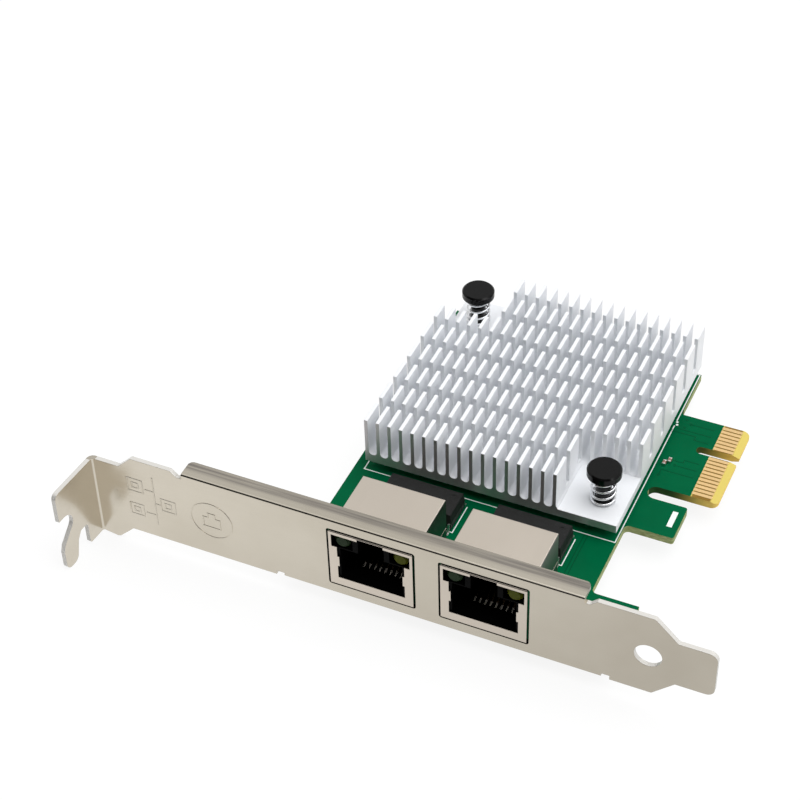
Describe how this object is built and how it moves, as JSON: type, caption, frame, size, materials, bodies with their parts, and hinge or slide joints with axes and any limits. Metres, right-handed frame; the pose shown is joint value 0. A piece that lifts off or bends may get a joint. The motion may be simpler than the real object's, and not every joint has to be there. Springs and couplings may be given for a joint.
{
  "type": "network interface card",
  "caption": "Plug-in board with a slotted end bracket, shielded data jacks with lamps, and a sprung pin-fin heatsink over its controller.",
  "frame": {"origin": "the card's slot datum: middle of the key notch at the connector's edge, on the component side of the board", "axes": "+X along the board towards the card-edge connector, +Y from the bracket towards the heatsink, +Z out of the component side"},
  "size_m": [0.121, 0.0904, 0.022],
  "materials": {
    "board_green": "gloss solder mask over glass fibre",
    "contact_gold": "gold plated",
    "bracket_steel": "nickel plated, satin",
    "screw_steel": "zinc plated",
    "shield_steel": "tin plated, satin",
    "insert_black": "moulded, fine grain",
    "lamp_green": "tinted, unlit",
    "lamp_yellow": "tinted, unlit",
    "package_black": "moulded",
    "lead_tin": "tinned",
    "sink_aluminium": "clear anodised, satin",
    "pin_black": "moulded, gloss",
    "spring_chrome": "bright wire",
    "pad_grey": "soft, matt",
    "capacitor_tan": "ceramic, matt",
    "coil_grey": "ferrite, matt",
    "crystal_tin": "satin lid"
  },
  "bodies": {
    "root": {"circuit_board": "board_green", "edge_contacts": "contact_gold", "bracket": "bracket_steel", "bracket_screws": "screw_steel", "jack_shield_left": "shield_steel", "jack_shield_right": "shield_steel", "jack_housing_left": "insert_black", "jack_housing_right": "insert_black", "jack_contacts_left": "contact_gold", "jack_contacts_right": "contact_gold", "lamp_left_green": "lamp_green", "lamp_right_green": "lamp_green", "lamp_left_yellow": "lamp_yellow", "lamp_right_yellow": "lamp_yellow", "magnetics_left": "package_black", "magnetics_right": "package_black", "magnetics_leads": "lead_tin", "heatsink": "sink_aluminium", "push_pins": "pin_black", "push_pin_springs": "spring_chrome", "controller_chip": "package_black", "thermal_pad": "pad_grey", "flash_chip": "package_black", "flash_leads": "lead_tin", "crystal_can": "crystal_tin", "regulator": "package_black", "regulator_leads": "lead_tin", "inductor": "coil_grey", "capacitors": "capacitor_tan", "resistors": "package_black"}
  },
  "joints": []
}
